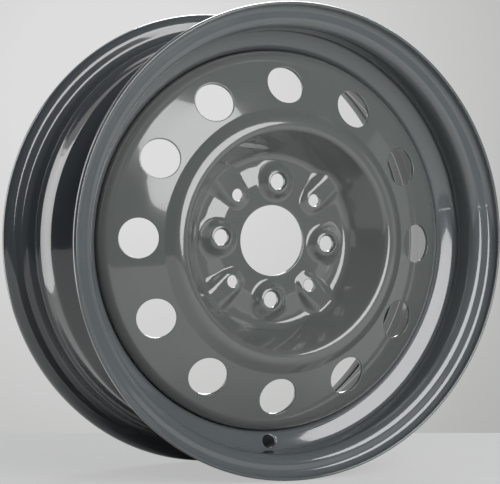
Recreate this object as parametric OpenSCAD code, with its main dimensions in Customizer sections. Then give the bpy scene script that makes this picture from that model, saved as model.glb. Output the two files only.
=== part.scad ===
// Pressed steel road wheel: a rolled rim, a pressed disc and the weld beads that join them.
// The axle line is Y. The outboard face looks along -Y, +Z is up and the origin is the
// middle of the rim. Profiles are drawn as [radius, height], where height is measured
// outboard from the middle plane of the rim.

/* [Rim] */
// Diameter on which the tyre beads sit, at the flanges
bead_d = 354.8; // [350:0.1:360]
// Width between the inner faces of the two flanges
rim_w = 139.7; // [136:0.1:146]
// Height of the flanges above the bead seats
flange_h = 17.7; // [16.8:0.1:19]
// Radius of the outward curl of each flange, on the tyre side
curl_r = 8.3; // [7.6:0.1:9]
// How far the curl runs on past its crest, in degrees
lip_angle = 20; // [10:1:35]
// Radius between a flange and its bead seat, on the tyre side
heel_r = 6.5; // [5:0.1:7]
// Taper of the bead seats, in degrees
seat_taper = 5; // [4:0.5:6]
// Width of each bead seat, up to the safety hump
seat_w = 16.5; // [15:0.1:18]
// Height of the safety humps above the seat beside them
hump_h = 1.2; // [0.6:0.1:1.6]
// Depth of the drop centre below the bead seats
well_depth = 17.4; // [16:0.1:19]
// Distance from the outboard flange to the floor of the drop centre
well_start = 44.7; // [43:0.1:47]
// Width of the floor of the drop centre
well_w = 33; // [31:0.5:36]
// Slope of the inboard side of the drop centre, in degrees from the axle line
well_slope = 38; // [34:1:44]
// Depth of the ledge beside the inboard hump, below the bead seats
ledge_depth = 2.9; // [2:0.1:4]
// Thickness of the rim sheet
rim_sheet = 2.3; // [2:0.1:2.8]

/* [Valve hole] */
// Diameter of the valve hole
valve_d = 11.3; // [10:0.1:12]
// Distance from the outboard flange to the middle of the valve hole
valve_in = 33.3; // [32.4:0.1:34.2]

/* [Disc] */
// Distance of the hub mounting face outboard from the middle of the rim
wheel_offset = 30; // [27:0.5:33]
// Thickness of the disc sheet
disc_sheet = 3.2; // [2.8:0.1:3.6]
// Diameter of the centre bore
bore_d = 58.6; // [54:0.1:62]
// Radius where the flat round the bore ends
hub_flat_r = 49; // [47:0.5:51]
// Rise of the flat round the bore above the seating ring
hub_rise = 2.4; // [1.6:0.1:3]
// Inner radius of the flat seating ring
ring_in_r = 62.5; // [61:0.5:63.5]
// Width of the flat seating ring
ring_w = 4.5; // [3.5:0.5:5.5]
// Inside radius at the foot of the hat
foot_r = 10; // [8:0.5:12]
// Distance from the seating ring out to the top of the hat
crown_run = 27; // [25:0.5:28]
// Height of the top of the hat above the seating ring
crown_h = 34.1; // [32:0.1:36]
// Rounding on the inner side of the crown
crown_in_r = 10; // [8:0.5:12]
// Rounding on the outer side of the crown
crown_out_r = 17; // [15:0.5:18]
// Slope of the outer side of the crown, in degrees
crown_fall = 35.5; // [33:0.5:38]
// Distance from the top of the hat out to the crease beside the vent cone
crease_run = 15.3; // [14.5:0.1:17]
// Slope of the inner part of the vent cone, in degrees
cone_slope = 19.6; // [18:0.1:21]
// Slope of the outer part of the vent cone, in degrees
rim_slope = 22.5; // [21:0.5:24]
// Rounding of the shoulder that turns the cone into the skirt
shoulder_r = 12; // [9:0.5:13]
// Length of the straight skirt that sits in the drop centre
skirt_len = 21; // [19:0.5:23]

/* [Vents] */
// Number of vent holes
vent_count = 12; // [8:1:14]
// Diameter of each vent hole
vent_d = 32.4; // [28:0.1:34]
// Radius of the circle through the vent holes
vent_circle_r = 128.7; // [127.5:0.1:130]
// Turn of the vent holes from the bolt holes, in degrees
vent_turn = 2.1; // [-15:0.1:15]

/* [Bolt seats] */
// Diameter of the bolt circle
bolt_circle_d = 98; // [96:0.1:101]
// Number of bolt holes, with one pad between each two
bolt_count = 4; // [3:1:5]
// Turn of the bolt circle from the horizontal, in degrees
bolt_turn = -3.7; // [-45:0.1:45]
// Diameter of each bolt hole
bolt_hole_d = 13.3; // [12:0.1:14]
// Diameter of the mouth of the conical seat
seat_mouth_d = 17.2; // [16.4:0.1:18]
// Half of the cone angle of the seat, in degrees
seat_half_angle = 30; // [28:1:36]
// Height of each bolt seat above the seating ring
boss_h = 8.5; // [7.5:0.1:9.5]
// Slope of the side of each bolt seat, in degrees
boss_slope = 50; // [45:1:56]
// Metal left below the lip of each bolt seat
boss_metal = 5.2; // [4.8:0.1:5.6]

/* [Pads] */
// Diameter of the small hole in each raised pad
pad_hole_d = 10.3; // [8:0.1:11]
// Radius of the circle through the pad holes
pad_circle_r = 50.3; // [49:0.1:52]
// Half of the width of the flat top of each pad
pad_half_w = 8; // [7.5:0.1:9]
// Height of each pad above the seating ring
pad_h = 5.7; // [5:0.1:6.4]
// Slope of the sides of each pad, in degrees
pad_slope = 33; // [28:1:40]

/* [Welds] */
// Number of weld beads between the skirt and the rim
weld_count = 4; // [3:1:6]
// Angle covered by each weld bead, in degrees
weld_span = 52; // [40:1:56]
// Leg length of each weld bead along the rim
weld_leg = 4; // [3:0.1:5]
// Clearance between the skirt and the floor of the drop centre
fit_gap = 0.1; // [0.05:0.01:0.2]

/* [Hidden] */
WELDS = [for (i = [1 : weld_count]) str("weld_bead_", i)];

paint = [0.42, 0.45, 0.44];
weld_grey = [0.36, 0.39, 0.38];
step_angle = 6;   // degrees between the points of a rounded corner
past = 1;         // how far a cut runs on past the face it opens
$fn = 96;

bead_r = bead_d / 2;
half_w = rim_w / 2;
well_r = bead_r - well_depth;
skirt_r = well_r - rim_sheet - fit_gap;
ring_z = wheel_offset + disc_sheet;
flat_z = ring_z + hub_rise;
crown_z = ring_z + crown_h;
ring_out_r = ring_in_r + ring_w;
crown_r = ring_out_r + crown_run;
crease_r = crown_r + crease_run;
hat_rise = crown_h - foot_r - crown_in_r;
hat_turn = asin((foot_r + crown_in_r) / norm([hat_rise, crown_run]));
hat_slope = atan2(hat_rise, crown_run) + hat_turn;
foot_corner_r = ring_out_r + foot_r * tan(hat_slope / 2);
crown_corner_in_r = crown_r - crown_in_r * tan(hat_slope / 2);
crown_corner_out_r = crown_r + crown_out_r * tan(crown_fall / 2);
crease_z = crown_z - (crease_r - crown_corner_out_r) * tan(crown_fall);
vent_z = crease_z - (vent_circle_r - crease_r) * tan(cone_slope);
shoulder_z = vent_z - (skirt_r - vent_circle_r) * tan(rim_slope);
skirt_end_z = shoulder_z - shoulder_r * tan(45 - rim_slope / 2) - skirt_len;
pad_z = ring_z + pad_h;
boss_z = ring_z + boss_h;
lip_land = 1.1;   // width of the flat lip round the mouth of each bolt seat
boss_lip_r = seat_mouth_d / 2 + lip_land;
pad_turn = bolt_turn + 180 / bolt_count;
vent_start = bolt_turn + vent_turn;

// Basic two-dimensional helpers

function unit(v) = v / norm(v);

function arc(centre, r, from, to) =
    let (n = max(1, ceil(abs(to - from) / step_angle)))
    [for (i = [0 : n]) let (a = from + (to - from) * i / n) centre + r * [cos(a), sin(a)]];

// The arc of radius r that rounds corner b between a and c
function corner(a, b, c, r) =
    let (
        u = unit(a - b),
        v = unit(c - b),
        inside = acos(u * v),
        centre = b + unit(u + v) * r / sin(inside / 2),
        start = b + u * r / tan(inside / 2) - centre,
        from = atan2(start[1], start[0]),
        side = sign(cross(b - a, c - b))
    )
    arc(centre, r, from, from + side * (180 - inside));

// A path of [x, y, radius] corners, each rounded by its own radius
function rounded(p) = [
    for (i = [0 : len(p) - 1])
        let (here = [p[i][0], p[i][1]])
        each (i == 0 || i == len(p) - 1 || p[i][2] == 0)
            ? [here]
            : corner([p[i - 1][0], p[i - 1][1]], here, [p[i + 1][0], p[i + 1][1]], p[i][2])
];

function heading(p, i) = unit([p[i + 1][0] - p[i][0], p[i + 1][1] - p[i][1]]);

function right_of(d) = [d[1], -d[0]];

// The same corners moved sideways by t, to the right of their run, with radii to match
function moved(p, t) = [
    for (i = [0 : len(p) - 1])
        let (
            u = heading(p, max(i - 1, 0)),
            v = heading(p, min(i, len(p) - 2)),
            step = t * (right_of(u) + right_of(v)) / (1 + u * v),
            r = p[i][2] == 0 ? 0 : max(0, p[i][2] + sign(cross(u, v)) * t)
        )
        [p[i][0] + step[0], p[i][1] + step[1], r]
];

function reversed(p) = [for (i = [len(p) - 1 : -1 : 0]) p[i]];

// Sections

seat_fall = tan(seat_taper);
seat_end_r = bead_r - seat_w * seat_fall;
hump_r = seat_end_r + hump_h;
hump_run = 2;       // length of each flank of a hump along the axle
hump_top = 2.4;     // length of the top of the inboard hump
ledge_r = bead_r - ledge_depth;
floor_out_z = half_w - well_start;
floor_in_z = floor_out_z - well_w;
ledge_z = floor_in_z - (ledge_r - well_r) / tan(well_slope);
curl_c = bead_r + flange_h - curl_r;
hump_out_z = half_w - seat_w - hump_run;
hump_in_z = -half_w + seat_w + hump_run;
well_corner_r = 8;
ledge_corner_r = 7;
hump_corner_r = 3.2;

function rim_corners() = [
    [curl_c, half_w, 0],
    [bead_r, half_w, heel_r],
    [seat_end_r, half_w - seat_w, hump_corner_r],
    [hump_r, hump_out_z, hump_corner_r],
    [hump_r, hump_out_z - hump_run, hump_corner_r],
    [well_r, floor_out_z, well_corner_r],
    [well_r, floor_in_z, well_corner_r],
    [ledge_r, ledge_z, ledge_corner_r],
    [ledge_r, hump_in_z + hump_top + hump_run, hump_corner_r],
    [hump_r, hump_in_z + hump_top, hump_corner_r],
    [hump_r, hump_in_z, hump_corner_r],
    [seat_end_r, -half_w + seat_w, hump_corner_r],
    [bead_r, -half_w, heel_r],
    [curl_c, -half_w, 0]
];

// The face of the rim that lies t inside its tyre side, from the outboard lip to the inboard
// lip. Each curl stops one step short of the corner where it meets the flat of the flange.
curl_end = 90 - step_angle;

function rim_face(t) = concat(
    arc([curl_c, half_w + curl_r], curl_r - t, lip_angle, -curl_end),
    rounded(moved(rim_corners(), t)),
    arc([curl_c, -half_w - curl_r], curl_r - t, curl_end, -lip_angle)
);

function rim_section() = concat(rim_face(0), reversed(rim_face(rim_sheet)));

cone_round = 300;   // gentle crown of the vent cone
crease_round = 5;
drop_round = 16;    // rounding where the hub surface starts to fall away

function disc_corners() = [
    [bore_d / 2, flat_z, 0],
    [hub_flat_r, flat_z, drop_round],
    [ring_in_r, ring_z, drop_round],
    [foot_corner_r, ring_z, foot_r],
    [crown_corner_in_r, crown_z, crown_in_r],
    [crown_corner_out_r, crown_z, crown_out_r],
    [crease_r, crease_z, crease_round],
    [vent_circle_r, vent_z, cone_round],
    [skirt_r, shoulder_z, shoulder_r],
    [skirt_r, skirt_end_z, 0]
];

// The face of the disc that lies t behind its outboard face, from the bore to the skirt's end
function disc_face(t) = rounded(moved(disc_corners(), t));

function disc_section() = concat(disc_face(0), reversed(disc_face(disc_sheet)));

// A pressed-up form: half of its section, with a flat top and a sloping side
function raised_path(half_top, top_z, slope, top_round, low_z) = rounded([
    [0, top_z, 0],
    [half_top, top_z, top_round],
    [half_top + (top_z - low_z) / tan(slope), low_z, 0]
]);

// Half of the section of the hollow behind it, one sheet thickness t inside
function hollow_path(half_top, top_z, slope, t, crown_metal, low_z) =
    let (inner = half_top - t / sin(slope))
    [
        [0, top_z - crown_metal],
        [inner + crown_metal / tan(slope), top_z - crown_metal],
        [inner + (top_z - low_z) / tan(slope), low_z]
    ];

// Solids on the axle line, drawn with +Z outboard and then laid along Y

module laid() {
    rotate([90, 0, 0]) children();
}

module around(turn, count) {
    for (i = [0 : count - 1]) rotate([0, 0, turn + i * 360 / count]) children();
}

// A half section turned about its own axis
module turned(path) {
    rotate_extrude() polygon(concat(path, [[0, path[len(path) - 1][1]]]));
}

// A tongue with that section: a half round end at the axis, then straight outwards
module tongue(path, length) {
    low_z = path[len(path) - 1][1];
    far = [for (p = reversed(path)) if (p[0] > 0) [-p[0], p[1]]];
    rotate([0, 0, 90]) rotate_extrude(angle = 180) polygon(concat(path, [[0, low_z]]));
    rotate([90, 0, 90]) linear_extrude(length) polygon(concat(far, path));
}

pad_round = 3;
boss_round = 1.4;
boss_top = boss_lip_r + boss_round * tan(boss_slope / 2);
form_low = ring_z + (hub_rise - disc_sheet) / 2;
cut_low = ring_z - 2 * disc_sheet;
tongue_len = ring_out_r + 2 * foot_r - pad_circle_r;
pad_end_angle = 50; // how far round the foot of the hat the pads run, in degrees

// The outside of the pads and bolt seats. Outwards, the pads end inside the foot of the hat.
module pressed_forms() {
    pad = raised_path(pad_half_w, pad_z, pad_slope, pad_round, form_low);
    boss = raised_path(boss_top, boss_z, boss_slope, boss_round, form_low);
    end_r = ring_out_r + foot_r * sin(pad_end_angle);
    intersection() {
        around(pad_turn, bolt_count) translate([pad_circle_r, 0, 0]) tongue(pad, tongue_len);
        translate([0, 0, form_low])
            cylinder(h = pad_h + past, r1 = end_r, r2 = end_r + (pad_h + past) / 2);
    }
    around(bolt_turn, bolt_count) translate([bolt_circle_d / 2, 0, 0]) turned(boss);
}

// The hollows behind them
module pressed_hollows() {
    pad = hollow_path(pad_half_w, pad_z, pad_slope, disc_sheet, disc_sheet, cut_low);
    boss = hollow_path(boss_top, boss_z, boss_slope, disc_sheet, boss_metal, cut_low);
    around(pad_turn, bolt_count) translate([pad_circle_r, 0, 0]) tongue(pad, tongue_len);
    around(bolt_turn, bolt_count) translate([bolt_circle_d / 2, 0, 0]) turned(boss);
}

module vent_cuts() {
    lean = (cone_slope + rim_slope) / 2;
    cut_len = 6 * disc_sheet;
    around(vent_start, vent_count) translate([vent_circle_r, 0, vent_z])
        rotate([0, lean, 0]) cylinder(h = cut_len, d = vent_d, center = true);
}

module bolt_cuts() {
    seat_depth = (seat_mouth_d - bolt_hole_d) / 2 / tan(seat_half_angle);
    spread = past * tan(seat_half_angle);
    around(bolt_turn, bolt_count) translate([bolt_circle_d / 2, 0, 0]) {
        translate([0, 0, boss_z - seat_depth])
            cylinder(h = seat_depth + past, r1 = bolt_hole_d / 2, r2 = seat_mouth_d / 2 + spread);
        translate([0, 0, cut_low]) cylinder(h = boss_z - cut_low, d = bolt_hole_d);
    }
}

module pad_cuts() {
    around(pad_turn, bolt_count) translate([pad_circle_r, 0, cut_low])
        cylinder(h = pad_z + past - cut_low, d = pad_hole_d);
}

module bore_cut() {
    translate([0, 0, cut_low]) cylinder(h = pad_z + past - cut_low, d = bore_d);
}

// Sub-parts

module disc() {
    color(paint) laid() difference() {
        union() {
            rotate_extrude() polygon(disc_section());
            pressed_forms();
        }
        pressed_hollows();
        vent_cuts();
        bolt_cuts();
        pad_cuts();
        bore_cut();
    }
}

module rim() {
    ramp = atan2(hump_r - well_r, hump_out_z - hump_run - floor_out_z);
    valve_z = half_w - valve_in;
    valve_r = well_r + (valve_z - floor_out_z) * tan(ramp);
    cut_len = 8 * rim_sheet;
    color(paint) laid() difference() {
        rotate_extrude() polygon(rim_section());
        rotate([0, 0, vent_start + 270]) translate([valve_r, 0, valve_z])
            rotate([0, 90 + ramp, 0]) cylinder(h = cut_len, d = valve_d, center = true);
    }
}

// One fillet bead between the end of the skirt and the floor of the drop centre
module weld_bead(i) {
    wall_r = skirt_r + fit_gap;
    throat = 0.6;    // how far the face of the bead bulges past a straight line
    toe = [wall_r - disc_sheet, skirt_end_z];
    heel = [wall_r, skirt_end_z - weld_leg];
    crown = (toe + heel) / 2 - throat * unit([weld_leg, disc_sheet]);
    color(weld_grey) laid() rotate([0, 0, pad_turn + i * 360 / weld_count - weld_span / 2])
        rotate_extrude(angle = weld_span) polygon([[wall_r, skirt_end_z], toe, crown, heel]);
}

rim();
disc();
for (i = [1 : weld_count]) {
    weld_bead(i);
}
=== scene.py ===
import math

import bpy
import numpy as np
from mathutils import Matrix, Vector


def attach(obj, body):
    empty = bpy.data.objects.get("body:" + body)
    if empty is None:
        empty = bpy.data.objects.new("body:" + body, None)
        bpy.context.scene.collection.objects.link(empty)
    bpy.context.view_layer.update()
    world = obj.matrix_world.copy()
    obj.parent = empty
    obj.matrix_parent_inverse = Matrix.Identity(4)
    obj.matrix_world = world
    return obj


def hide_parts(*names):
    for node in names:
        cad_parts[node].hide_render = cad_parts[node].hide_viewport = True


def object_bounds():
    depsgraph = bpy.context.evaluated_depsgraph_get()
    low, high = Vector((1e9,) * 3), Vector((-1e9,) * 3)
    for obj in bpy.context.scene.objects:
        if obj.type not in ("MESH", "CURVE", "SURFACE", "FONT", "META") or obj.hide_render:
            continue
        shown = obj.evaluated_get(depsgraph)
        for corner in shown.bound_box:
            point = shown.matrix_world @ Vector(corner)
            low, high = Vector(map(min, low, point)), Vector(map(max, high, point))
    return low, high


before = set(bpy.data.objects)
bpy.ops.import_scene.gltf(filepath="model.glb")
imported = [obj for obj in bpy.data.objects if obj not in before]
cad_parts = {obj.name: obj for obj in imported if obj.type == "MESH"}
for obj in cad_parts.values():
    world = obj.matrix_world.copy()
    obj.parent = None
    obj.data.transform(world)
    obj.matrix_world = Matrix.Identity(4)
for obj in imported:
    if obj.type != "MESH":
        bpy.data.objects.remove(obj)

# A pressed steel road wheel. The axle line is Y, the outboard face looks along -Y and +Z is
# up. Sections are [radius, height] in millimetres, with height measured outboard from the
# middle of the rim. Angles are in degrees, seen from outboard, from +X towards +Z.

CAD_BOX = [list(corner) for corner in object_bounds()]
FLOOR_Z = CAD_BOX[0][2]
MM = 0.001
TINY = 1e-6
MERGE_GAP = 2e-6       # points of a mesh nearer than this are one point, in metres

# Sizes of the rim
BEAD_R = 177.4
HALF_W = 69.85
FLANGE_H = 17.7
CURL_R = 8.3
LIP_ANGLE = 20
HEEL_R = 6.5
SEAT_TAPER = 5
SEAT_W = 16.5
HUMP_H = 1.2
HUMP_RUN = 2
HUMP_TOP = 3.2
HUMP_ROUND = 2.9
WELL_R = 160
WELL_IN_Z = -7.85
WELL_SLOPE = 38
WELL_ROUND = 8
WALL_TILT = 20         # lean of the drop centre's outboard wall from square to the axle
WALL_ROUND = 7
WALL_FOOT_ROUND = 6
OUT_SEAT_W = 21.5      # the outboard seat, whose hump stands near the wall
LEDGE_R = 174.5
LEDGE_TAPER = 5
LEDGE_ROUND = 7
RIM_SHEET = 2.3
VALVE_R = 5.65
VALVE_AT = (167.13, 37.21)  # middle of the valve hole, halfway through the sheet

# Sizes of the disc
SHEET = 3.2
BORE_R = 29.3
HUB_FLAT_R = 49
RING_IN_R = 62.5
RING_OUT_R = 67
RING_Z = 33.2
HUB_Z = 35.6
FOOT_R = 8.5
CROWN_R = 95.2
CROWN_Z = 67.3
CROWN_IN = 6
CROWN_OUT = 13.2
CROWN_FALL = 35.5
CREASE_R = 109.3
CREASE_ROUND = 5
DROP_ROUND = 16
VENT_CIRCLE_R = 128.7
CONE_SLOPE = 19.6
RIM_SLOPE = 22.5
CONE_ROUND = 300
SHOULDER_R = 12
SKIRT_GAP = 0.1        # between the skirt and the floor of the drop centre
SKIRT_R = WELL_R - RIM_SHEET - SKIRT_GAP
SKIRT_LEN = 21
VENTS = 12
VENT_R = 16.2
BOLTS = 4
BOLT_TURN = -3.7
VENT_TURN = -1.6
BOLT_CIRCLE_R = 49
BOLT_HOLE_R = 6.65
SEAT_MOUTH_R = 7.8
SEAT_DEPTH = 1.99
SEAT_MOUTH_ROUND = 0.35
SEAT_THROAT_ROUND = 0.3
BOSS_Z = 41.7
BOSS_LIP_R = 9.0
BOSS_SLOPE = 49
DOME_R = 7.4           # where the rounded top of a bolt seat starts to fall
DOME_ROUND = 5.0
BOSS_METAL = 5.2
PAD_CIRCLE_R = 50.3
PAD_HOLE_R = 5.15
PAD_HALF_W = 8
PAD_Z = 38.9
PAD_SLOPE = 44
PAD_END_SLOPE = 0.48   # slope of the inner end of a pad, as a share of its sides' slope
PAD_END_R = 5.8
PAD_END_RUN = 1.5
PAD_SQUARENESS = 3     # 2 makes the inner end of a pad round, and more makes it squarer


def tan(degrees):
    return math.tan(math.radians(degrees))


def turned(degrees):
    """Unit vectors at these angles."""
    a = np.radians(degrees)
    return np.stack([np.cos(a), np.sin(a)], axis=-1)


# Sections, whose corners are (radius, height, rounding)


def arc(centre, r, start, end, step):
    count = max(1, math.ceil(abs(end - start) / step - TINY))
    return [tuple(p) for p in np.array(centre) + r * turned(np.linspace(start, end, count + 1))]


def round_corner(before, at, after, r, step):
    """The arc of radius r that rounds a corner."""
    at = np.array(at)
    u, v = np.array(before) - at, np.array(after) - at
    u, v = u / np.linalg.norm(u), v / np.linalg.norm(v)
    inside = math.acos(np.clip(u @ v, -1, 1))
    centre = at + (u + v) / np.linalg.norm(u + v) * r / math.sin(inside / 2)
    start = at + u * r / math.tan(inside / 2) - centre
    side = np.sign(u[1] * v[0] - u[0] * v[1])
    first = math.degrees(math.atan2(start[1], start[0]))
    return arc(centre, r, first, first + side * (180 - math.degrees(inside)), step)


def rounded(corners, step):
    """The line through the corners, with a point every step degrees where it's rounded."""
    points = [tuple(corners[0][:2])]
    for before, here, after in zip(corners, corners[1:], corners[2:]):
        if here[2] > 0:
            points += round_corner(before[:2], here[:2], after[:2], here[2], step)
        else:
            points.append(tuple(here[:2]))
    return points + [tuple(corners[-1][:2])]


def moved(corners, t):
    """The corners moved sideways by t, to the right of their run, with radii to match."""
    at = np.array([c[:2] for c in corners], float)
    run = np.diff(at, axis=0)
    run /= np.linalg.norm(run, axis=1)[:, None]
    right = np.stack([run[:, 1], -run[:, 0]], axis=1)
    out = []
    for i, (point, corner) in enumerate(zip(at, corners)):
        a, b = max(i - 1, 0), min(i, len(run) - 1)
        shift = t * (right[a] + right[b]) / (1 + run[a] @ run[b])
        turn = np.sign(run[a][0] * run[b][1] - run[a][1] * run[b][0])
        r = max(0.0, corner[2] + turn * t) if corner[2] > 0 else 0.0
        out.append((*(point + shift), r))
    return out


def divided(points, longest):
    """The same line with no stretch longer than that."""
    out = [tuple(points[0])]
    for a, b in zip(points, points[1:]):
        a, b = np.array(a), np.array(b)
        length = np.linalg.norm(b - a)
        if length > TINY:
            count = math.ceil(length / longest)
            out += [tuple(a + (b - a) * k / count) for k in range(1, count + 1)]
    return out


# Meshes, shaped from primitives


def deselect():
    bpy.ops.object.select_all(action="DESELECT")


def named(name):
    piece = bpy.context.active_object
    piece.name = piece.data.name = name
    return piece


def place(piece, points):
    """Puts the mesh's points at these [x, z, height] places, in millimetres."""
    points = np.asarray(points, float).reshape(-1, 3)
    at = np.stack([points[:, 0], -points[:, 2], points[:, 1]], axis=1) * MM
    piece.data.vertices.foreach_set("co", at.ravel())
    piece.data.update()


def sheet_of_squares(name, rows):
    """A grid whose rows of points are given, as an array of rows by columns by 3."""
    rows = np.asarray(rows, float)
    deselect()
    bpy.ops.mesh.primitive_grid_add(x_subdivisions=rows.shape[1] - 1,
                                    y_subdivisions=rows.shape[0] - 1, size=1)
    piece = named(name)
    place(piece, rows)
    return piece


def rolled(name, line, turns, lift=None):
    """An open line of (radius, height) rolled round the axle, as a grid with a column at each
    of these angles."""
    line = np.array(line)
    rows = np.zeros((len(line), len(turns), 3))
    rows[:, :, :2] = line[:, None, :1] * turned(turns)[None]
    rows[:, :, 2] = line[:, 1:]
    if lift is not None:
        rows = lift(rows)
    return sheet_of_squares(name, rows)


def spun(name, section, steps, start=0.0, span=360.0):
    """A closed section of (radius, height) spun round the axle."""
    deselect()
    bpy.ops.mesh.primitive_circle_add(vertices=len(section), fill_type="NOTHING")
    piece = named(name)
    section = np.array(section)
    at = section[:, :1] * turned(start)[None]
    place(piece, np.concatenate([at, section[:, 1:]], axis=1))
    bpy.ops.object.mode_set(mode="EDIT")
    bpy.ops.mesh.select_all(action="SELECT")
    bpy.ops.mesh.spin(steps=steps, angle=math.radians(span), center=(0, 0, 0), axis=(0, -1, 0))
    bpy.ops.object.mode_set(mode="OBJECT")
    return piece


def copy_turned(piece, degrees):
    """A copy with a mesh of its own, turned about the axle."""
    other = piece.copy()
    other.data = piece.data.copy()
    other.data.transform(Matrix.Rotation(math.radians(-degrees), 4, "Y"))
    bpy.context.collection.objects.link(other)
    return other


def joined(pieces, name):
    deselect()
    for piece in pieces:
        piece.select_set(True)
    bpy.context.view_layer.objects.active = pieces[0]
    bpy.ops.object.join()
    return named(name)


def closed(piece):
    """Merges what touches, points the faces outwards and shades the surface smooth."""
    deselect()
    piece.select_set(True)
    bpy.context.view_layer.objects.active = piece
    bpy.ops.object.mode_set(mode="EDIT")
    bpy.ops.mesh.select_all(action="SELECT")
    bpy.ops.mesh.remove_doubles(threshold=MERGE_GAP)
    bpy.ops.mesh.normals_make_consistent(inside=False)
    bpy.ops.object.mode_set(mode="OBJECT")
    bpy.ops.object.shade_smooth()
    return piece


def modified(piece, kind, **settings):
    """Adds a modifier with these settings and applies it."""
    modifier = piece.modifiers.new(kind.title(), kind)
    for key, value in settings.items():
        setattr(modifier, key, value)
    deselect()
    piece.select_set(True)
    bpy.context.view_layer.objects.active = piece
    bpy.ops.object.modifier_apply(modifier=modifier.name)
    return piece


# The rim

CURL_C = BEAD_R + FLANGE_H - CURL_R
SEAT_END_R = BEAD_R - SEAT_W * tan(SEAT_TAPER)
OUT_SEAT_END_R = BEAD_R - OUT_SEAT_W * tan(SEAT_TAPER)
HUMP_R = SEAT_END_R + HUMP_H
HUMP_Z = HALF_W - SEAT_W - HUMP_RUN
OUT_HUMP_Z = HALF_W - OUT_SEAT_W - HUMP_RUN
LEDGE_IN_Z = -HUMP_Z + HUMP_TOP + HUMP_RUN
LEDGE_MID_R = LEDGE_R + LEDGE_IN_Z * tan(LEDGE_TAPER)
LEDGE_Z = ((WELL_R - LEDGE_MID_R + WELL_IN_Z * tan(WELL_SLOPE))
           / (tan(WELL_SLOPE) - tan(LEDGE_TAPER)))


def wall_z(r):
    """Height of the wall's tyre side, placed by the middle of the valve hole."""
    middle = VALVE_AT[1] - RIM_SHEET / 2 / math.cos(math.radians(WALL_TILT))
    return middle + (r - VALVE_AT[0]) * tan(WALL_TILT)


RIM_CORNERS = [
    (CURL_C, HALF_W, 0),
    (BEAD_R, HALF_W, HEEL_R),
    (OUT_SEAT_END_R, HALF_W - OUT_SEAT_W, HUMP_ROUND),
    (HUMP_R, OUT_HUMP_Z, HUMP_ROUND),
    (HUMP_R, wall_z(HUMP_R), WALL_ROUND),
    (WELL_R, wall_z(WELL_R), WALL_FOOT_ROUND),
    (WELL_R, WELL_IN_Z, WELL_ROUND),
    (LEDGE_MID_R - LEDGE_Z * tan(LEDGE_TAPER), LEDGE_Z, LEDGE_ROUND),
    (LEDGE_R, LEDGE_IN_Z, HUMP_ROUND),
    (HUMP_R, -HUMP_Z + HUMP_TOP, HUMP_ROUND),
    (HUMP_R, -HUMP_Z, HUMP_ROUND),
    (SEAT_END_R, -HALF_W + SEAT_W, HUMP_ROUND),
    (BEAD_R, -HALF_W, HEEL_R),
    (CURL_C, -HALF_W, 0),
]
RIM_STEPS = 360
RIM_ARC = 10.0         # degrees between the points of a rounded corner
RIM_STRETCH = 7.0      # longest stretch of the section between points
LIP_BULGE = 0.8        # how round the ends of the sheet are, as a share of a half circle
LIP_POINTS = 8


def rim_face(t):
    """The face of the rim that lies t inside its tyre side, from lip to lip."""
    near = 90 - RIM_ARC
    return (arc((CURL_C, HALF_W + CURL_R), CURL_R - t, LIP_ANGLE, -near, RIM_ARC)
            + rounded(moved(RIM_CORNERS, t), RIM_ARC)
            + arc((CURL_C, -HALF_W - CURL_R), CURL_R - t, near, -LIP_ANGLE, RIM_ARC))


def lip(first, second, inner):
    """The rounded end of the sheet, from one face to the other, away from an inner point."""
    first, second = np.array(first), np.array(second)
    middle, half = (first + second) / 2, np.linalg.norm(second - first) / 2
    along = (first - middle) / half
    out = np.array([along[1], -along[0]])
    out *= np.sign(out @ (first - np.array(inner))) * LIP_BULGE
    turns = turned(np.linspace(0, 180, LIP_POINTS + 1)[1:-1])
    return [tuple(middle + half * (c * along + s * out)) for c, s in turns]


def make_rim():
    tyre, road = rim_face(0), rim_face(RIM_SHEET)
    section = (divided(tyre, RIM_STRETCH) + lip(tyre[-1], road[-1], tyre[-2])
               + divided(road[::-1], RIM_STRETCH) + lip(road[0], tyre[0], road[1]))
    rim = closed(spun("rim_shell", section, RIM_STEPS))
    cut_valve_hole(rim)
    return rim


VALVE_EDGE = 0.6       # rounding of the edges of the valve hole
VALVE_TURN = VENT_TURN + 270
VALVE_SIDES = 64
VALVE_ARC = 15
VALVE_STRETCH = 6
SPOOL_REACH = 3        # how far the cutter stands out of the sheet on each side


def cut_valve_hole(rim):
    """Cuts the hole with a spool whose flares leave its two edges rounded."""
    mouth_r, end_z = VALVE_R + VALVE_EDGE, RIM_SHEET + SPOOL_REACH
    flare = arc((mouth_r, RIM_SHEET - VALVE_EDGE), VALVE_EDGE, 90, 180, VALVE_ARC)
    upper = [(0, end_z), (mouth_r, end_z)] + flare
    lower = [(r, RIM_SHEET - z) for r, z in upper[::-1]]
    line = divided(upper + lower, VALVE_STRETCH)
    cutter = closed(rolled("valve_cutter", line, np.linspace(0, 360, VALVE_SIDES + 1)))
    # The spool's own axis is -Y so far. It's tipped to the wall's normal and moved on to it,
    # with its end at the tyre side.
    tilt = math.radians(WALL_TILT)
    inward = Vector((-math.sin(tilt), -math.cos(tilt), 0))
    start = (Vector((VALVE_AT[0], -VALVE_AT[1], 0)) - inward * RIM_SHEET / 2) * MM
    cutter.data.transform(Vector((0, -1, 0)).rotation_difference(inward).to_matrix().to_4x4())
    cutter.data.transform(Matrix.Translation(start))
    cutter.data.transform(Matrix.Rotation(math.radians(-VALVE_TURN), 4, "Y"))
    modified(rim, "BOOLEAN", operation="DIFFERENCE", object=cutter, solver="EXACT")
    bpy.data.objects.remove(cutter)


# The disc

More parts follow.
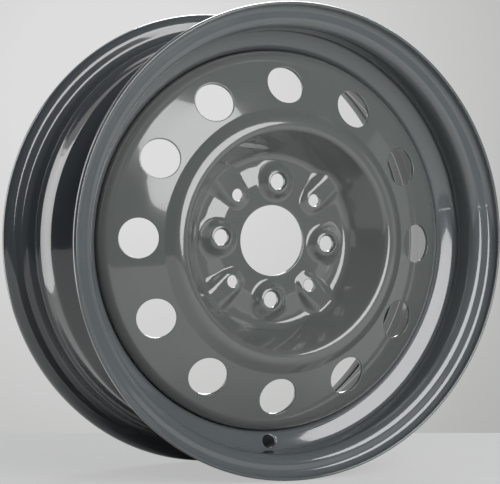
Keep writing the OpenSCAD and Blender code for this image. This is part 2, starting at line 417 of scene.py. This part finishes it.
HAT_RISE = CROWN_Z - RING_Z - FOOT_R - CROWN_IN
HAT_RUN = CROWN_R - RING_OUT_R
HAT_SLOPE = math.degrees(math.atan2(HAT_RISE, HAT_RUN)
                         + math.asin((FOOT_R + CROWN_IN) / math.hypot(HAT_RISE, HAT_RUN)))
CROWN_CORNER_OUT = CROWN_R + CROWN_OUT * tan(CROWN_FALL / 2)
CREASE_Z = CROWN_Z - (CREASE_R - CROWN_CORNER_OUT) * tan(CROWN_FALL)
VENT_Z = CREASE_Z - (VENT_CIRCLE_R - CREASE_R) * tan(CONE_SLOPE)
SHOULDER_Z = VENT_Z - (SKIRT_R - VENT_CIRCLE_R) * tan(RIM_SLOPE)
SKIRT_END_Z = SHOULDER_Z - SHOULDER_R * tan(45 - RIM_SLOPE / 2) - SKIRT_LEN
VENT_LEAN = (CONE_SLOPE + RIM_SLOPE) / 2

OUTER_CORNERS = [
    (BORE_R, HUB_Z, 0),
    (HUB_FLAT_R, HUB_Z, DROP_ROUND),
    (RING_IN_R, RING_Z, DROP_ROUND),
    (RING_OUT_R + FOOT_R * tan(HAT_SLOPE / 2), RING_Z, FOOT_R),
    (CROWN_R - CROWN_IN * tan(HAT_SLOPE / 2), CROWN_Z, CROWN_IN),
    (CROWN_CORNER_OUT, CROWN_Z, CROWN_OUT),
    (CREASE_R, CREASE_Z, CREASE_ROUND),
    (VENT_CIRCLE_R, VENT_Z, CONE_ROUND),
    (SKIRT_R, SHOULDER_Z, SHOULDER_R),
    (SKIRT_R, SKIRT_END_Z, 0),
]
INNER_CORNERS = moved(OUTER_CORNERS, SHEET)
FINE_ARC = 1.0         # degrees between the points of the lines that heights are read from
OUTER_LINE = np.array(rounded(OUTER_CORNERS, FINE_ARC))
INNER_LINE = np.array(rounded(INNER_CORNERS, FINE_ARC))

# The disc is made in rings: the edge of the bore, the hub with its bolt seats and pads, the hat,
# the cone with its vents, and the skirt. They meet at these radii.
HUB_START_R = BORE_R + 1.2
HUB_END_R = 66.6
VENT_START_R = 110.6
VENT_END_R = 147.6
DISC_TURNS = 240       # columns round the disc, a multiple of 24
BOLT_STEP = 360 / BOLTS
HUB_HALF_ANGLE = BOLT_STEP / 4
VENT_HALF_ANGLE = 180 / VENTS

# Degrees between the points of an arc, and the longest stretch between the points of a line
HAT_ARC = 6.0
OUTER_STRETCH = 1.2
INNER_STRETCH = 3.0
SEAM_CLEARANCE = 0.3   # no point of the hat's lines is nearer than this to their ends
EDGE_ARC = 30
BORE_STRETCH = 1.2
SEAT_ARC = 20
SEAT_STRETCH = 1.6
SKIRT_ARC = 10
SKIRT_STRETCH = 4.0

# Rings of points round a hole are round as far as its reach, and from there run on to the edge
# of their sector. The rows are those from the edge to the reach, from there to the hole, and
# the same on the back in the other order.
HUB_SIDE_ROWS = 20
BOLT_REACH = 16.4
BOLT_ROWS = (6, 13, 5, 3)
PAD_REACH = 15.0
PAD_ROWS = (8, 14, 6, 4)
VENT_SIDE_ROWS = 14
VENT_REACH = VENT_R + 1.6
VENT_ROWS = (6, 2, 1, 4)

EDGE_ROUND = 0.5       # rounding of the cut edges of the sheet
HOLE_LAND = 0.4        # flat that a hole's section has beyond its rounded edge

# Roundings between forms that are pressed into one another
PAD_BLEND = 0.5
PAD_TOP_BLEND = 1.6
FOOT_BLEND = 4.0
BOSS_BLEND = 3.0
BOSS_BACK_BLEND = 1.2


def higher(a, b, blend):
    """The higher of two heights, with the line where they meet rounded."""
    near = np.maximum(blend - np.abs(a - b), 0) / blend
    return np.maximum(a, b) + near ** 2 * blend / 4


def lower(a, b, blend):
    return -higher(-a, -b, blend)


def raised(d, half_top, top_z, slope, blend, metal, top_metal):
    """Height of a pressed-up form at distance d from its middle line. Its sides lie metal
    behind the outboard face, and its top lies top_metal behind it."""
    side = top_z - metal / math.cos(math.radians(slope)) - (d - half_top) * tan(slope)
    return lower(top_z - top_metal, side, blend)


def pad_height(x, y, back):
    """The pad on the +X side: a tongue that runs outwards, with a gently sloping inner end."""
    past = np.maximum(PAD_CIRCLE_R - x, 0)
    inwards = PAD_END_SLOPE * past + PAD_END_R * (1 - np.exp(-past / PAD_END_RUN))
    d = (inwards ** PAD_SQUARENESS + np.abs(y) ** PAD_SQUARENESS) ** (1 / PAD_SQUARENESS)
    metal = SHEET * back
    return raised(d, PAD_HALF_W, PAD_Z, PAD_SLOPE, PAD_TOP_BLEND, metal, metal)


def boss_height(x, y, back):
    """The bolt seat on the +X side: a rounded top that runs into a straight slope."""
    d = np.hypot(x - BOLT_CIRCLE_R, y)
    if back:
        return raised(d, BOSS_LIP_R, BOSS_Z, BOSS_SLOPE, BOSS_BACK_BLEND, SHEET, BOSS_METAL)
    bend = DOME_ROUND * math.sin(math.radians(BOSS_SLOPE))
    fall = np.clip(d - DOME_R, 0, bend)
    top = BOSS_Z - DOME_ROUND + np.sqrt(DOME_ROUND ** 2 - fall ** 2)
    return top - np.maximum(d - DOME_R - bend, 0) * tan(BOSS_SLOPE)


def turned_height(r, back):
    """Height of the sheet at this radius, with nothing pressed into it."""
    line = INNER_LINE if back else OUTER_LINE
    return np.interp(r, line[:, 0], line[:, 1])


def cone_height(x, y, back):
    return turned_height(np.hypot(x, y), back)


def with_pad(base, x, y, back):
    """The pad meets the ring closely and runs into the foot of the hat in a wider bend."""
    on = np.clip((np.hypot(x, y) - RING_IN_R) / FOOT_R, 0, 1)
    return higher(base, pad_height(x, y, back), PAD_BLEND + (FOOT_BLEND - PAD_BLEND) * on)


def pad_sector_height(x, y, back):
    return with_pad(cone_height(x, y, back), x, y, back)


def bolt_sector_height(x, y, back):
    return higher(cone_height(x, y, back), boss_height(x, y, back), BOSS_BLEND)


def window(low_r, high_r, half_angle, across, along):
    """Points round the edge of a sector about the +X axis, across columns and along rows."""
    a = np.linspace(-half_angle, half_angle, across + 1)
    r = np.linspace(low_r, high_r, along + 1)
    sides = [low_r * turned(a[:-1]), r[:-1, None] * turned([half_angle]),
             high_r * turned(a[:0:-1]), r[:0:-1, None] * turned([-half_angle])]
    return np.concatenate(sides)


def holed_patch(name, edge, centre_r, reach, hole, height, counts, metal, lean=0.0):
    """A sector of the sheet with a hole in it: its outboard face from the edge of the sector to
    the hole, the section of the hole and its inboard face back to the edge. The hole's section
    runs from the outboard face to the inboard face as (distance from its axis, depth)."""
    out_rows, near_rows, near_back, out_back = counts
    centre = np.array([centre_r, 0.0])
    away = edge - centre
    away = away / np.linalg.norm(away, axis=1)[:, None]
    stretch = np.array([math.cos(math.radians(lean)), 1.0])
    slide = -metal * math.sin(math.radians(lean))

    def around(d):
        """Places at distance d from the hole's axis, which slide with the lean."""
        return centre + away * d * stretch, slide

    def onwards(t):
        """Places t of the way on from the reach to the edge, where nothing slides."""
        first = centre + away * reach * stretch
        return first + (edge - first) * t, slide * (1 - t)

    def row(places, share):
        """The points at these places, this share of the way to the inboard face."""
        at, slid = places
        other = at + np.array([slid, 0.0])
        front = np.column_stack([at, height(at[:, 0], at[:, 1], False)])
        behind = np.column_stack([other, height(other[:, 0], other[:, 1], True)])
        return front + (behind - front) * share

    rows = [row(onwards(t), 0) for t in np.linspace(1, 0, out_rows + 1)[:-1]]
    rows += [row(around(d), 0) for d in np.linspace(reach, hole[0][0], near_rows + 1)[:-1]]
    rows += [row(around(d), depth / metal) for d, depth in hole]
    rows += [row(around(d), 1) for d in np.linspace(hole[-1][0], reach, near_back + 1)[1:]]
    rows += [row(onwards(t), 1) for t in np.linspace(0, 1, out_back + 1)[1:]]
    rows = np.array(rows)
    return sheet_of_squares(name, np.concatenate([rows, rows[:, :1]], axis=1))


def plain_hole(r):
    """The section of a hole with rounded edges."""
    land = r + EDGE_ROUND + HOLE_LAND
    return rounded([(land, 0, 0), (r, 0, EDGE_ROUND), (r, SHEET, EDGE_ROUND),
                    (land, SHEET, 0)], EDGE_ARC)


def bolt_hole():
    """The section of a bolt seat: a flat lip, a cone and a short straight hole."""
    return divided(rounded([
        (BOSS_LIP_R, 0, 0), (SEAT_MOUTH_R, 0, SEAT_MOUTH_ROUND),
        (BOLT_HOLE_R, SEAT_DEPTH, SEAT_THROAT_ROUND), (BOLT_HOLE_R, BOSS_METAL, EDGE_ROUND),
        (BOSS_LIP_R, BOSS_METAL, 0)], SEAT_ARC), SEAT_STRETCH)


def make_hub():
    """The middle of the disc: four bolt sectors and four pad sectors."""
    columns = DISC_TURNS // (2 * BOLTS)
    edge = window(HUB_START_R, HUB_END_R, HUB_HALF_ANGLE, columns, HUB_SIDE_ROWS)
    bolt = holed_patch("bolt_sector", edge, BOLT_CIRCLE_R, BOLT_REACH, bolt_hole(),
                       bolt_sector_height, BOLT_ROWS, BOSS_METAL)
    pad = holed_patch("pad_sector", edge, PAD_CIRCLE_R, PAD_REACH, plain_hole(PAD_HOLE_R),
                      pad_sector_height, PAD_ROWS, SHEET)
    pieces = []
    for i in range(BOLTS):
        pieces.append(copy_turned(bolt, BOLT_TURN + i * BOLT_STEP))
        pieces.append(copy_turned(pad, BOLT_TURN + (i + 0.5) * BOLT_STEP))
    for template in (bolt, pad):
        bpy.data.objects.remove(template)
    return pieces


def make_vents():
    """The cone of the disc: twelve sectors with a round hole each."""
    columns = DISC_TURNS // VENTS
    edge = window(VENT_START_R, VENT_END_R, VENT_HALF_ANGLE, columns, VENT_SIDE_ROWS)
    vent = holed_patch("vent_sector", edge, VENT_CIRCLE_R, VENT_REACH, plain_hole(VENT_R),
                       cone_height, VENT_ROWS, SHEET, VENT_LEAN)
    pieces = [copy_turned(vent, VENT_TURN + i * 360 / VENTS) for i in range(VENTS)]
    bpy.data.objects.remove(vent)
    return pieces


def hat_lift(back):
    """Raises the pads where they run into the foot of the hat, and turns the columns of the
    crown from the bolt holes' places to the vents'."""
    def lift(rows):
        r = np.hypot(rows[:, :, 0], rows[:, :, 1])
        a = np.degrees(np.arctan2(rows[:, :, 1], rows[:, :, 0]))
        from_pad = (a - BOLT_TURN + BOLT_STEP) % BOLT_STEP - BOLT_STEP / 2
        near = r[..., None] * turned(from_pad)
        rows[:, :, 2] = with_pad(rows[:, :, 2], near[..., 0], near[..., 1], back)
        on = np.clip((r - CROWN_R) / (VENT_START_R - CROWN_R), 0, 1)
        a = a + (VENT_TURN - BOLT_TURN) * on
        rows[:, :, :2] = r[..., None] * turned(a)
        return rows
    return lift


def make_hat(name, corners, stretch, columns, back):
    """One face of the hat, from the ring that the hub ends in to the start of the vents."""
    start, end = [(r, turned_height(r, back)) for r in (HUB_END_R, VENT_START_R)]
    line = [p for p in divided(rounded(corners, HAT_ARC), stretch)
            if start[0] + SEAM_CLEARANCE < p[0] < end[0] - SEAM_CLEARANCE]
    return rolled(name, [start] + line + [end], columns, hat_lift(back))


def make_disc():
    turns = np.linspace(0, 360, DISC_TURNS + 1)
    bolt_columns = BOLT_TURN + turns + HUB_HALF_ANGLE
    vent_columns = VENT_TURN + turns + VENT_HALF_ANGLE
    bore = divided(rounded([
        (HUB_START_R, HUB_Z, 0), (BORE_R, HUB_Z, EDGE_ROUND),
        (BORE_R, HUB_Z - SHEET, EDGE_ROUND), (HUB_START_R, HUB_Z - SHEET, 0)],
        EDGE_ARC), BORE_STRETCH)
    skirt = divided(rounded([
        (VENT_END_R, turned_height(VENT_END_R, False), 0), (SKIRT_R, SHOULDER_Z, SHOULDER_R),
        (SKIRT_R, SKIRT_END_Z, EDGE_ROUND), (SKIRT_R - SHEET, SKIRT_END_Z, EDGE_ROUND),
        (*INNER_CORNERS[-2][:2], SHOULDER_R - SHEET),
        (VENT_END_R, turned_height(VENT_END_R, True), 0)], SKIRT_ARC), SKIRT_STRETCH)
    pieces = [
        rolled("bore_edge", bore, bolt_columns),
        make_hat("hat_outer", OUTER_CORNERS, OUTER_STRETCH, bolt_columns, False),
        make_hat("hat_inner", INNER_CORNERS, INNER_STRETCH, bolt_columns, True),
        rolled("skirt", skirt, vent_columns),
    ]
    return closed(joined(pieces + make_hub() + make_vents(), "disc_shell"))


# The weld beads

WELDS = 4
WELD_SPAN = 52
FIRST_WELD = BOLT_TURN + 180 / BOLTS + 360 / WELDS     # angle of the first bead's middle
WELD_LEG = 4
WELD_THROAT = 0.6
WELD_STEPS = 210
WELD_FACE_POINTS = 9
WELD_END_RUN = 3       # how far the bead takes to grow to its full size at each end
WELD_END_SIZE = 0.02   # the least it is there, as the square of a share
RIPPLE_PITCH = 2.2     # length of one ripple along the bead
RIPPLE_HEIGHT = 0.07   # how far a ripple stands out, as a share of the bead's size
RIPPLE_DIP = 0.05      # how far the bead dips between two, as a share of the same
RIPPLE_CLEAR = 2       # how far the ripples stay from the ends


def make_weld():
    """A fillet bead with ripples and rounded ends, between the skirt and the drop centre."""
    wall_r = SKIRT_R + SKIRT_GAP
    root = np.array([wall_r, SKIRT_END_Z])
    toe = root + [-SHEET, 0]
    heel = root + [0, -WELD_LEG]
    out = np.array([-WELD_LEG, -SHEET]) / math.hypot(WELD_LEG, SHEET)
    face = [toe + (heel - toe) * t + out * WELD_THROAT * 4 * t * (1 - t)
            for t in np.linspace(0, 1, WELD_FACE_POINTS)]
    start = FIRST_WELD - WELD_SPAN / 2
    bead = spun("weld_run_1", [root] + face, WELD_STEPS, start, WELD_SPAN)
    points = np.zeros(len(bead.data.vertices) * 3)
    bead.data.vertices.foreach_get("co", points)
    points = points.reshape(-1, 3) / MM
    r, height = np.hypot(points[:, 0], points[:, 2]), -points[:, 1]
    a = np.degrees(np.arctan2(points[:, 2], points[:, 0]))
    share = ((a - start) % 360) / WELD_SPAN
    share = np.where(share > 1.5, 0, share)      # points a hair before the start count as on it
    length = math.radians(WELD_SPAN) * wall_r
    end = np.minimum(share, 1 - share) * length
    grow = np.sqrt(np.clip(end / WELD_END_RUN, WELD_END_SIZE, 1))
    wave = np.abs(np.sin(math.pi * share * length / RIPPLE_PITCH))
    ripple = 1 + RIPPLE_HEIGHT * wave - RIPPLE_DIP
    scale = grow * np.where(end > RIPPLE_CLEAR, ripple, 1)
    r = root[0] + (r - root[0]) * scale
    height = root[1] + (height - root[1]) * scale
    place(bead, np.column_stack([r[:, None] * turned(a), height]))
    bpy.ops.object.mode_set(mode="EDIT")
    bpy.ops.mesh.select_all(action="DESELECT")
    bpy.ops.mesh.select_non_manifold()
    bpy.ops.mesh.edge_face_add()
    bpy.ops.object.mode_set(mode="OBJECT")
    return closed(bead)


def make_welds():
    """The first bead and its copies, evenly round the wheel."""
    beads = [make_weld()]
    for i in range(1, WELDS):
        bead = copy_turned(beads[0], i * 360 / WELDS)
        bead.name = bead.data.name = f"weld_run_{i + 1}"
        beads.append(bead)
    return beads


# Materials

MIX_FIRST, MIX_SECOND, MIX_RESULT = 6, 7, 2      # the colour sockets of a mix node
CLOUD_MM, CLOUD_DETAIL = 60, 3.0                 # slow drift of the enamel's colour
DULL_MM, DULL_DETAIL = 25, 4.0                   # patches where the coat ran thin
DULL_FROM, DULL_TO = 0.35, 0.75
DULLER = 1.5                                     # how much rougher they are
PEEL_DETAIL = 1.0
ENAMEL_IOR = 1.5
COAT_ROUGHNESS = 0.03
SEAM_HALF_ANGLE = 0.6                            # the ground butt weld of the rim, in degrees
SEAM_MM = 0.25                                   # how far it stands out
GRIT_MM, GRIT_DETAIL = 1.6, 2.0


def linear(hex_colour):
    """An sRGB hex colour as linear light."""
    parts = [int(hex_colour[i:i + 2], 16) / 255 for i in (1, 3, 5)]
    return (*[c / 12.92 if c <= 0.04045 else ((c + 0.055) / 1.055) ** 2.4 for c in parts], 1)


def new_material(name):
    material = bpy.data.materials.new(name)
    material.use_nodes = True
    material.node_tree.nodes.clear()
    return material, material.node_tree


def add(tree, kind, inputs=None, **settings):
    """Adds a node. An input is a value, or a (node, output) pair to link from."""
    node = tree.nodes.new(kind)
    for key, value in settings.items():
        setattr(node, key, value)
    for key, value in (inputs or {}).items():
        if isinstance(value, tuple) and isinstance(value[0], bpy.types.Node):
            tree.links.new(value[0].outputs[value[1]], node.inputs[key])
        else:
            node.inputs[key].default_value = value
    return node


def butt_weld(tree, where, at):
    """Height of the ground butt weld that closes the rim, at this angle from outboard."""
    point = add(tree, "ShaderNodeSeparateXYZ", {0: (where, "Object")})
    angle = add(tree, "ShaderNodeMath", {0: (point, "Z"), 1: (point, "X")}, operation="ARCTAN2")
    off = add(tree, "ShaderNodeMath", {0: (angle, "Value"), 1: math.radians(at)},
              operation="SUBTRACT")
    away = add(tree, "ShaderNodeMath", {0: (off, "Value")}, operation="ABSOLUTE")
    seam = add(tree, "ShaderNodeMapRange", {
        "Value": (away, "Value"), "From Min": math.radians(SEAM_HALF_ANGLE), "From Max": 0.0})
    grit = add(tree, "ShaderNodeTexNoise", {
        "Vector": (where, "Object"), "Scale": 1 / (GRIT_MM * MM), "Detail": GRIT_DETAIL})
    return add(tree, "ShaderNodeMath", {0: (seam, "Result"), 1: (grit, "Fac")},
               operation="MULTIPLY")


def stoved_enamel(name, colour, faded, roughness, peel_mm, peel_depth, weld_at=None):
    """Grey stoving enamel over phosphated sheet steel. It gives a hard wet gloss, with the faint
    orange peel of a dipped coat and slightly duller patches where it ran thin."""
    material, tree = new_material(name)
    where = add(tree, "ShaderNodeTexCoord")
    grains = ((CLOUD_MM, CLOUD_DETAIL), (DULL_MM, DULL_DETAIL), (peel_mm, PEEL_DETAIL))
    cloud, patch, peel = [add(tree, "ShaderNodeTexNoise", {
        "Vector": (where, "Object"), "Scale": 1 / (size * MM), "Detail": detail})
        for size, detail in grains]
    shade = add(tree, "ShaderNodeMix", {
        0: (cloud, "Fac"), MIX_FIRST: linear(colour), MIX_SECOND: linear(faded)},
        data_type="RGBA")
    dull = add(tree, "ShaderNodeMapRange", {
        "Value": (patch, "Fac"), "From Min": DULL_FROM, "From Max": DULL_TO,
        "To Min": roughness, "To Max": roughness * DULLER})
    bump = add(tree, "ShaderNodeBump", {
        "Height": (peel, "Fac"), "Distance": peel_depth * MM, "Strength": 1.0})
    if weld_at is not None:
        bump = add(tree, "ShaderNodeBump", {
            "Height": (butt_weld(tree, where, weld_at), "Value"), "Distance": SEAM_MM * MM,
            "Strength": 1.0, "Normal": (bump, "Normal")})
    paint = add(tree, "ShaderNodeBsdfPrincipled", {
        "Base Color": (shade, MIX_RESULT), "Roughness": (dull, "Result"), "IOR": ENAMEL_IOR,
        "Coat Weight": 1.0, "Coat Roughness": COAT_ROUGHNESS, "Coat IOR": ENAMEL_IOR,
        "Normal": (bump, "Normal")})
    add(tree, "ShaderNodeOutputMaterial", {"Surface": (paint, "BSDF")})
    return material


def fade_from(tree, at, near, far, most=1.0):
    """0 nearer to a place than near, and most beyond far."""
    where = add(tree, "ShaderNodeTexCoord")
    away = add(tree, "ShaderNodeVectorMath", {0: (where, "Object"), 1: at}, operation="DISTANCE")
    return add(tree, "ShaderNodeMapRange", {
        "Value": (away, "Value"), "From Min": near, "From Max": far, "To Max": most})


def glow_over_matt(tree, share, matt, glow):
    """The output of a matt surface, with a glow in place of this share of it."""
    matt = add(tree, "ShaderNodeBsdfDiffuse", {"Color": linear(matt)})
    glow = add(tree, "ShaderNodeEmission", {"Color": glow, "Strength": 1.0})
    mix = add(tree, "ShaderNodeMixShader", {0: share, 1: (matt, "BSDF"), 2: (glow, "Emission")})
    add(tree, "ShaderNodeOutputMaterial", {"Surface": (mix, "Shader")})


def backdrop_paper(name, middle, edge, lit, at, near, far):
    """Seamless backdrop paper with a soft pool of light on it. The camera and reflections see
    the pool as it shows, and the light that it gives off is that of plain matt paper."""
    material, tree = new_material(name)
    fade = fade_from(tree, at, near, far)
    shade = add(tree, "ShaderNodeMix", {
        0: (fade, "Result"), MIX_FIRST: linear(middle), MIX_SECOND: linear(edge)},
        data_type="RGBA")
    path = add(tree, "ShaderNodeLightPath")
    shown = add(tree, "ShaderNodeMath", {
        0: (path, "Is Camera Ray"), 1: (path, "Is Glossy Ray")}, operation="MAXIMUM")
    glow_over_matt(tree, (shown, "Value"), lit, (shade, MIX_RESULT))
    return material


def table_board(name, colour, tone, seen, reflected, near, far):
    """Matt white board under the wheel. Its own even tone is a share of what is seen of it, and
    another share of what reflections see of it away from the wheel. Near the wheel that glow
    fades out of the reflections, as painted shade."""
    material, tree = new_material(name)
    # Painted shade: reflections see no glow within near of the point under the wheel, rising to
    # the full share at far
    glow_past_painted_shade = fade_from(tree, (0, 0, FLOOR_Z), near, far, reflected)
    path = add(tree, "ShaderNodeLightPath")
    direct = add(tree, "ShaderNodeMath", {0: (path, "Is Camera Ray"), 1: seen},
                 operation="MULTIPLY")
    share = add(tree, "ShaderNodeMath", {
        0: (path, "Is Glossy Ray"), 1: (glow_past_painted_shade, "Result"), 2: (direct, "Value")},
        operation="MULTIPLY_ADD")
    glow_over_matt(tree, (share, "Value"), colour, linear(tone))
    return material


def dress(piece, material, slot, *nodes):
    piece.data.materials.clear()
    piece.data.materials.append(material)
    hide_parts(*nodes)
    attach(piece, "root")


# The rim and the disc shine alike. Over weld metal the coat is duller and follows a fine grain.
paint = stoved_enamel("grey stoving enamel", "#626664", "#696D6A",
                      roughness=0.10, peel_mm=2.5, peel_depth=0.004)
rim_paint = stoved_enamel("grey enamel over a butt weld", "#5C6163", "#636869",
                          roughness=0.10, peel_mm=2.5, peel_depth=0.004, weld_at=8.4)
weld_paint = stoved_enamel("enamel over weld metal", "#606665", "#676D6C",
                           roughness=0.18, peel_mm=0.8, peel_depth=0.03)

dress(make_rim(), rim_paint, "paint", "rim")
dress(make_disc(), paint, "paint", "disc")
for i, bead in enumerate(make_welds()):
    dress(bead, weld_paint, "weld", f"weld_bead_{i + 1}")

# The stage: a board that the wheel stands on, and paper behind it. Depths are from the camera.

CAMERA_AT = Vector((-0.86336, -1.72213, 0.04230))
CAMERA_LOOK = Vector((0.44687, 0.89430, -0.02301)).normalized()
CAMERA_UP = Vector((0.0103, 0.0206, 0.9997))
LENS = 164.27
SENSOR = 36
AHEAD = Vector((CAMERA_LOOK.x, CAMERA_LOOK.y, 0)).normalized()
ASIDE = Vector((AHEAD.y, -AHEAD.x, 0))
BOARD_START, BOARD_END = 0.6, 2.22
BOARD_HALF_W = 2.5
PAPER_DEPTH = 5.5
PAPER_HALF_W = 9.0
PAPER_LOW, PAPER_HIGH = -4.5, 5.5
POOL_SIDE, POOL_Z = -0.31, 0.26        # middle of the pool of light on the paper


def from_camera(depth, side, z=FLOOR_Z):
    """A place this far ahead of the camera and to its right."""
    at = Vector((CAMERA_AT.x, CAMERA_AT.y, 0)) + AHEAD * depth + ASIDE * side
    return (at.x, at.y, z)


def stage_plane(name, corners, material):
    """A plane on the stage. Its corners are given in two rows."""
    deselect()
    bpy.ops.mesh.primitive_plane_add()
    piece = named(name)
    piece.data.vertices.foreach_set("co", np.array(corners, float).ravel())
    piece.data.update()
    piece.data.materials.append(material)


# The board's near and far bound the painted shade round the wheel in its reflections
stage_plane("board", [from_camera(depth, side) for depth in (BOARD_START, BOARD_END)
                      for side in (-BOARD_HALF_W, BOARD_HALF_W)],
            table_board("matt white board", "#C9CAC8", "#E1E2E1",
                        seen=0.6, reflected=0.75, near=0.09, far=0.22))
stage_plane("paper", [from_camera(PAPER_DEPTH, side, z) for z in (PAPER_LOW, PAPER_HIGH)
                      for side in (-PAPER_HALF_W, PAPER_HALF_W)],
            backdrop_paper("backdrop paper", "#DDDDDD", "#B2B3B1", "#C0C0C0",
                           at=from_camera(PAPER_DEPTH, POOL_SIDE, POOL_Z), near=0.26, far=1.20))

# Light

WHEEL_MIDDLE = Vector((0, 0, 0))
# Name, azimuth, elevation, distance, power, and size, which is a width and height for a strip
LAMPS = [
    ("softbox", 3.5, 18, 1.7, 24, (1.36,)),
    ("right wall", 70, 4, 2.2, 1.8, (1.6,)),
    ("back fill", 150, 28, 2.4, 20, (1.2,)),
    ("back strip", 214, 0, 1.9, 6, (0.4, 2.8)),
    ("side strip", 204, 4, 1.9, 1.2, (0.25, 1.3)),
]
DIM_STRENGTH = 0.08


def from_wheel(azimuth, elevation, distance):
    """A place seen from the wheel, with azimuth from -Y towards +X."""
    a, e = math.radians(azimuth), math.radians(elevation)
    return Vector((math.sin(a) * math.cos(e), -math.cos(a) * math.cos(e), math.sin(e))) * distance


for name, azimuth, elevation, distance, power, size in LAMPS:
    light = bpy.data.lights.new(name, "AREA")
    light.shape = "RECTANGLE" if len(size) > 1 else "DISK"
    light.size, light.energy = size[0], power
    if len(size) > 1:
        light.size_y = size[1]
    lamp = bpy.data.objects.new(name, light)
    lamp.location = from_wheel(azimuth, elevation, distance)
    lamp.visible_camera = False
    lamp.rotation_euler = (WHEEL_MIDDLE - lamp.location).to_track_quat("-Z", "Y").to_euler()
    bpy.context.collection.objects.link(lamp)

# The studio is dim, and the camera sees pale walls
world = bpy.data.worlds.new("studio")
bpy.context.scene.world = world
world.use_nodes = True
tree = world.node_tree
tree.nodes.clear()
path = add(tree, "ShaderNodeLightPath")
dim = add(tree, "ShaderNodeBackground", {"Color": linear("#DAE8FF"), "Strength": DIM_STRENGTH})
walls = add(tree, "ShaderNodeBackground", {"Color": linear("#D4D5D3"), "Strength": 1.0})
mix = add(tree, "ShaderNodeMixShader",
          {0: (path, "Is Camera Ray"), 1: (dim, "Background"), 2: (walls, "Background")})
add(tree, "ShaderNodeOutputWorld", {"Surface": (mix, "Shader")})

# Camera

camera = bpy.data.objects.new("camera", bpy.data.cameras.new("camera"))
bpy.context.collection.objects.link(camera)
camera.data.sensor_fit = "HORIZONTAL"
camera.data.sensor_width = SENSOR
camera.data.lens = LENS
right = CAMERA_LOOK.cross(CAMERA_UP).normalized()
up = right.cross(CAMERA_LOOK)
camera.matrix_world = Matrix.Translation(CAMERA_AT) @ Matrix(
    (right, up, -CAMERA_LOOK)).transposed().to_4x4()
bpy.context.scene.camera = camera
bpy.context.scene.view_settings.view_transform = "Standard"
